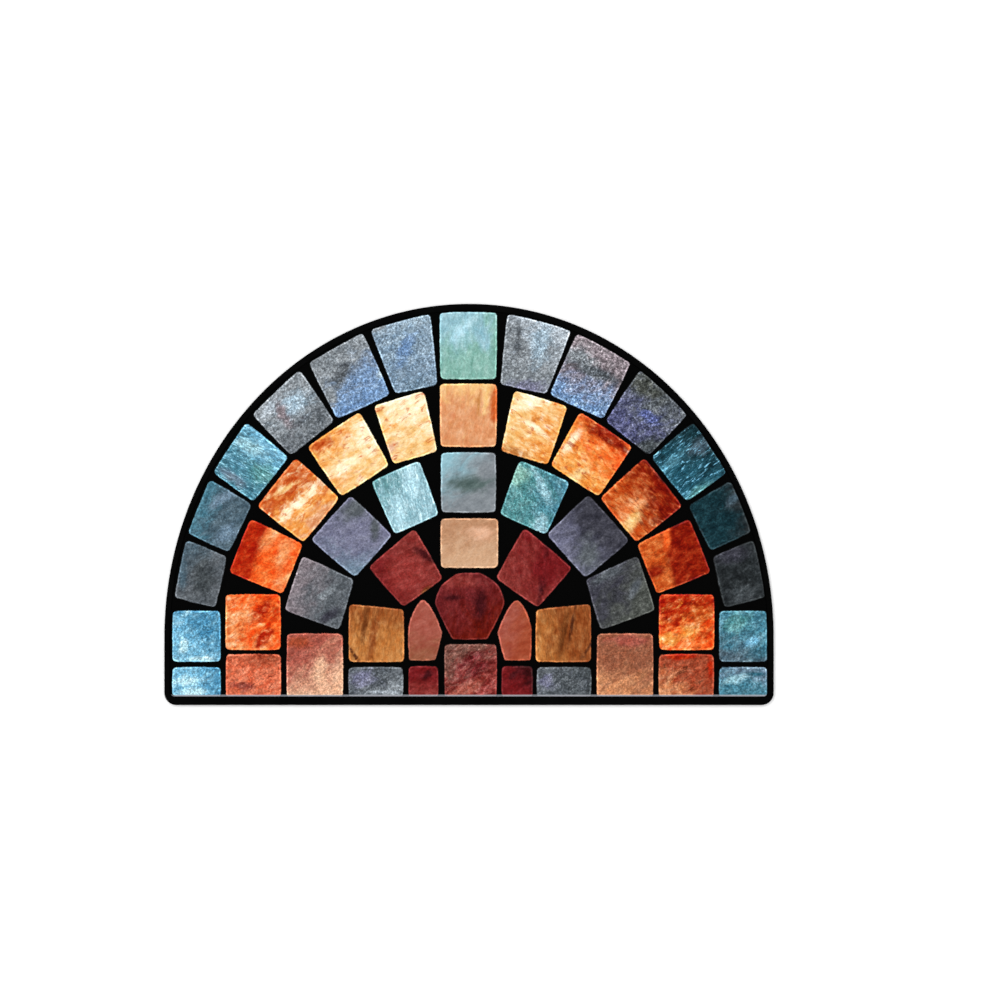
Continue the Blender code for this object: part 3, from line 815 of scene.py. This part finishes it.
def make_base(material):
    """The rubber base: one loop of edges drawn up the side, over the rim and down inside."""
    low_round, top_round, inner_round = 0.6 * MM, 1.1 * MM, 0.8 * MM
    rim_crown = 0.08 * MM
    steps = 5
    turns = [pi / 2 * step / steps for step in range(steps + 1)]
    # Each loop's share of the way across the rim, how far it is drawn in, and its height
    loops = [(0, low_round * (1 - sin(turn)), low_round * (1 - cos(turn))) for turn in turns[1:]]
    loops += [(0, top_round * (1 - cos(turn)), RIM_HEIGHT - top_round * (1 - sin(turn)))
              for turn in turns]
    loops.append((0.5, 0, RIM_HEIGHT + rim_crown))
    loops += [(1, -inner_round * (1 - sin(turn)), RIM_HEIGHT - inner_round * (1 - cos(turn)))
              for turn in turns]
    loops.append((1, 0, RUBBER))
    bm = bmesh.new()
    ring = loop_of(bm, rim_loop(0, low_round), 0)
    bmesh.ops.contextual_create(bm, geom=ring)
    for share, inward, height in loops:
        outline = rim_loop(share, inward)
        pushed = bmesh.ops.extrude_edge_only(bm, edges=ring)["geom"]
        ring = [item for item in pushed if isinstance(item, bmesh.types.BMEdge)]
        verts = [item for item in pushed if isinstance(item, bmesh.types.BMVert)]
        moved_to(verts, [(point.x, point.y, height) for point in outline])
    bmesh.ops.contextual_create(bm, geom=ring)
    bmesh.ops.recalc_face_normals(bm, faces=bm.faces)
    return make_object("moulded_base", bm, [material])


def add(tree, kind, inputs=(), **settings):
    """Adds a node with its settings. An input is a plain value, or a socket to link."""
    node = tree.nodes.new(kind)
    for name, value in settings.items():
        setattr(node, name, value)
    for socket, value in dict(inputs).items():
        if isinstance(value, bpy.types.NodeSocket):
            tree.links.new(value, node.inputs[socket])
        else:
            node.inputs[socket].default_value = value
    return node


def new_material(name):
    material = bpy.data.materials.new(name)
    material.use_nodes = True
    material.node_tree.nodes.clear()
    return material, material.node_tree


# Sockets of a Mix node that blends colours
FACTOR, FIRST, OTHER, MIXED = 0, 6, 7, 2


def noise_of(tree, place, size, detail, roughness=0.6, distortion=0.0):
    """Noise less its middle value, with features of this size in the place's own units."""
    made = add(tree, "ShaderNodeTexNoise", {
        "Vector": place, "Scale": 1 / size, "Detail": detail, "Roughness": roughness,
        "Distortion": distortion})
    return add(tree, "ShaderNodeMath", {0: made.outputs["Fac"], 1: 0.5},
               operation="SUBTRACT").outputs[0]


def ramp(tree, value, start, end, low=0.0, high=1.0):
    """A smooth change from low to high as the value goes from start to end."""
    return add(tree, "ShaderNodeMapRange", {
        "Value": value, "From Min": start, "From Max": end, "To Min": low, "To Max": high},
        interpolation_type="SMOOTHSTEP").outputs[0]


def times(tree, first, other, plus=0.0):
    """One value times another, and a third added."""
    return add(tree, "ShaderNodeMath", {0: first, 1: other, 2: plus},
               operation="MULTIPLY_ADD").outputs[0]


def mixed(tree, share, first, other, blend="MIX"):
    """The first colour with this share of the other blended over it."""
    return add(tree, "ShaderNodeMix", {FACTOR: share, FIRST: first, OTHER: other},
               data_type="RGBA", blend_type=blend, clamp_result=True).outputs[MIXED]


def printed_needlefelt():
    """Needled polyester, printed and hot-pressed. Dye soaks into matt fibres, so the stone
    pattern is soft at its edges and grainy close up. The shoulders are lightened in places by a
    painted highlight."""
    material, tree = new_material("printed_needlefelt")

    def point_value(name, output="Fac"):
        return add(tree, "ShaderNodeAttribute", attribute_name=name).outputs[output]

    place = point_value("place", "Vector")
    ragged = noise_of(tree, place, 3.2, 2)
    edge = times(tree, ragged, 1.8, point_value("edge"))
    cloud = times(tree, point_value("cloud"), 4.0)

    # Swirls 14 and 7 mm wide, longer along each print's own run, push the borders between
    # the dyes about
    swirl = add(tree, "ShaderNodeMapping", {"Vector": place, "Scale": (0.6, 1, 1)}).outputs[0]
    wide_clouds = noise_of(tree, swirl, 14, 5, 0.65, 0.8)
    small_clouds = noise_of(tree, swirl, 7, 4, 0.65, 0.5)
    dyed = point_value("ground", "Color")
    for name, clouds in zip(("second", *DAB_NAMES), (wide_clouds, small_clouds) * 2):
        pushed = times(tree, clouds, cloud, point_value(name + "_cover"))
        share = ramp(tree, pushed, 0.1, 0.9)
        dyed = mixed(tree, share, dyed, point_value(name, "Color"))

    # Mottles 5 mm across are more or less dye, so the deeper ones are richer too
    mottles = times(tree, noise_of(tree, swirl, 5, 3, 0.6, 0.4), point_value("mottle"))
    dyed = add(tree, "ShaderNodeGamma", {
        "Color": dyed, "Gamma": times(tree, mottles, -1.8, 1.0)}).outputs[0]

    # Streaks 2 mm wide and 9 mm long lie along the same run
    run = add(tree, "ShaderNodeMapping", {"Vector": place, "Scale": (0.25, 1, 1)}).outputs[0]
    streaks = noise_of(tree, run, 2.2, 3, 0.7, 1.0)
    pale_streaks = times(tree, ramp(tree, streaks, 0.04, 0.2, 0.0, 0.7), point_value("streak"))
    dyed = mixed(tree, pale_streaks, dyed, point_value("accent", "Color"))

    # Veins are the lines along which a slow noise passes its middle, broken here and there
    bends = noise_of(tree, run, 9, 2, 0.5, 0.4)
    off_line = add(tree, "ShaderNodeMath", {0: bends}, operation="ABSOLUTE").outputs[0]
    breaks = noise_of(tree, place, 9, 2)
    line = times(tree, ramp(tree, off_line, 0.004, 0.045, 1.0, 0.0), ramp(tree, breaks, 0.0, 0.12))
    dyed = mixed(tree, times(tree, line, point_value("vein")), dyed, point_value("accent", "Color"))

    # Grains 1.9 mm across and the streaks make it lighter and darker, in stops
    stops = 0.0
    for tone, strength, depth in (
        (noise_of(tree, place, 1.9, 2, 0.8), "grain", 6.0),
        (streaks, "streak", 5.5),
    ):
        stops = times(tree, times(tree, tone, point_value(strength)), depth, stops)
    gain = add(tree, "ShaderNodeMath", {0: 2.0, 1: stops}, operation="POWER").outputs[0]
    dyed = mixed(tree, 1.0, dyed, gain, "MULTIPLY")

    # Fibres lie in two directions. Real ones are 0.03 mm thick; these are drawn 0.4 mm
    # thick, so that a close view shows them.
    layers = []
    for turn in (0.6, -0.9):
        lay = add(tree, "ShaderNodeMapping", {
            "Vector": place, "Rotation": (0, 0, turn), "Scale": (0.16, 1, 1)})
        layers.append(noise_of(tree, lay.outputs[0], 0.45, 2))
    fibres = add(tree, "ShaderNodeMath", {0: layers[0], 1: layers[1]}, operation="MAXIMUM")
    dyed = mixed(tree, 1.0, dyed, ramp(tree, fibres.outputs[0], -0.1, 0.2, 0.92, 1.06), "MULTIPLY")

    # Painted highlight: the shoulder is made lighter in places, along a band 0.2 to 2 mm in from
    # the wall
    lighter = add(tree, "ShaderNodeVectorMath", {
        0: dyed, 1: (2.2, 2.2, 2.2), 2: (0.02, 0.02, 0.02)}, operation="MULTIPLY_ADD").outputs[0]
    band = times(tree, ramp(tree, edge, 0.2, 0.6), ramp(tree, edge, 1.1, 2.1, 1.0, 0.0))
    painted_highlight = times(tree, ramp(tree, noise_of(tree, place, 11, 3, 0.7), -0.15, 0.15, 0.1, 1.0), band)
    dyed = mixed(tree, painted_highlight, dyed, lighter)

    # The black of the joints climbs the wall, and the cut edge shows undyed felt
    black, undyed = (*linear(JOINT_BLACK), 1), (*linear(UNDYED), 1)
    dyed = mixed(tree, ramp(tree, edge, -0.05, 0.4, 1.0, 0.0), dyed, black)
    dyed = mixed(tree, cut_share(tree, 0.85), dyed, undyed)
    bump = add(tree, "ShaderNodeBump", {
        "Height": fibres.outputs[0], "Strength": 0.5, "Distance": 0.25 * MM})
    shader = add(tree, "ShaderNodeBsdfPrincipled", {
        "Base Color": dyed, "Roughness": 0.9, "IOR": 1.5, "Specular IOR Level": 0.05,
        "Sheen Weight": 0.02, "Sheen Roughness": 0.5, "Normal": bump.outputs[0]})
    add(tree, "ShaderNodeOutputMaterial", {"Surface": shader.outputs[0]})
    return material


def place_on(tree):
    """The place on the mat, in metres."""
    return add(tree, "ShaderNodeTexCoord").outputs["Object"]


def cut_share(tree, most):
    """How far the undyed cut edge shows: a strip 2 mm wide along the foot."""
    above = add(tree, "ShaderNodeSeparateXYZ", {0: place_on(tree)}).outputs["Y"]
    fades_from, fades_to = FOOT_Y + 9.9 * MM, FOOT_Y + 10.6 * MM
    return ramp(tree, above, fades_from, fades_to, most, 0.0)


def finish_black(tree, colour, bumps, depth, shine):
    """Joins a dull black colour and its fine bumps, this deep, to the material's surface."""
    bump = add(tree, "ShaderNodeBump", {"Height": bumps, "Strength": 0.4, "Distance": depth})
    shader = add(tree, "ShaderNodeBsdfPrincipled", {
        "Base Color": colour, "IOR": 1.5, "Normal": bump.outputs[0], **shine})
    add(tree, "ShaderNodeOutputMaterial", {"Surface": shader.outputs[0]})


def pressed_joint():
    """The same felt pressed thin and dyed black: dense, matt, with a trace of fibre."""
    material, tree = new_material("pressed_black_felt")
    fibres = noise_of(tree, place_on(tree), 0.8 * MM, 3)
    black = mixed(tree, 1.0, (*linear(JOINT_BLACK), 1), ramp(tree, fibres, -0.2, 0.2, 0.6, 1.6),
                  "MULTIPLY")
    black = mixed(tree, cut_share(tree, 0.4), black, (*linear(UNDYED), 1))
    finish_black(tree, black, fibres, 0.15 * MM, {"Roughness": 0.95, "Specular IOR Level": 0.01})
    return material


def moulded_rubber():
    """Black rubber from a mould: deep black, with a fine blasted grain that breaks its dull
    gloss, and patches of grey dust underneath, where it has lain on a floor."""
    material, tree = new_material("moulded_rubber")
    where = place_on(tree)
    grain = noise_of(tree, where, 0.7 * MM, 3, 0.65)
    patches = noise_of(tree, where, 35 * MM, 4)
    black = mixed(tree, 1.0, (*linear(RUBBER_BLACK), 1),
                  ramp(tree, patches, -0.15, 0.15, 0.75, 1.5), "MULTIPLY")
    height = add(tree, "ShaderNodeSeparateXYZ", {0: where}).outputs["Z"]
    dust = times(tree, ramp(tree, height, 0.0, 0.7 * MM, 1.0, 0.0),
                 ramp(tree, times(tree, grain, 0.5, patches), -0.2, 0.25, 0.2, 1.0))
    black = mixed(tree, dust, black, (*linear(DUST), 1))
    finish_black(tree, black, grain, 0.12 * MM, {
        "Roughness": ramp(tree, grain, -0.2, 0.2, 0.6, 0.85), "Specular IOR Level": 0.015})
    return material


def pale_floor():
    """Matt white studio board."""
    material, tree = new_material("studio_board")
    shader = add(tree, "ShaderNodeBsdfPrincipled", {
        "Base Color": (*linear(BOARD_WHITE), 1), "Roughness": 1.0, "Specular IOR Level": 0.0})
    add(tree, "ShaderNodeOutputMaterial", {"Surface": shader.outputs[0]})
    return material


def make_floor():
    """The board that the mat lies on."""
    bm = bmesh.new()
    bmesh.ops.create_grid(bm, x_segments=1, y_segments=1, size=4)
    floor = make_object("floor", bm, [pale_floor()])


def light_studio():
    """A big soft lamp from the upper left, and an even pale surround."""
    scene = bpy.context.scene
    scene.world = bpy.data.worlds.new("studio")
    scene.world.use_nodes = True
    surround = scene.world.node_tree.nodes["Background"].inputs
    surround["Color"].default_value = (1, 1, 1, 1)
    surround["Strength"].default_value = 1.06
    lamp = bpy.data.lights.new("softbox", "AREA")
    lamp.shape = "DISK"
    lamp.size = 1.6
    lamp.energy = 22
    softbox = bpy.data.objects.new("softbox", lamp)
    softbox.location = (-0.8, 1.0, 2.3)
    softbox.rotation_euler = (-softbox.location).to_track_quat("-Z", "Y").to_euler()
    scene.collection.objects.link(softbox)
    scene.view_settings.view_transform = "Standard"
    scene.view_settings.look = "None"


def place_camera():
    """Straight above the mat, framed as in the photograph: 0.9846 mm to the pixel, with the
    mat's middle 469 pixels across and 504.45 down, of 1000 by 1000."""
    frame_width = 984.6 * MM
    middle_across, middle_down = 469.0 / 1000, 504.45 / 1000
    height = 3.0
    camera = bpy.data.cameras.new("camera")
    camera.sensor_width = 36
    camera.lens = camera.sensor_width * height / frame_width
    eye = bpy.data.objects.new("camera", camera)
    across = (0.5 - middle_across) * frame_width
    up = (middle_down - 0.5) * frame_width
    eye.location = (across, up, height + JOINT_LEVEL)
    bpy.context.scene.collection.objects.link(eye)
    bpy.context.scene.camera = eye


def declare(face, base):
    """Hangs each piece on the root body, and hides the CAD part that it takes the place of."""
    cloth = cloth_outline()
    for piece, node, slot in ((face, "face_cloth", "needlefelt"), (base, "rubber_base", "rubber")):
        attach(piece, "root")
        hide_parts(node)


face = make_face([printed_needlefelt(), pressed_joint()])
base = make_base(moulded_rubber())
declare(face, base)
make_floor()
light_studio()
place_camera()
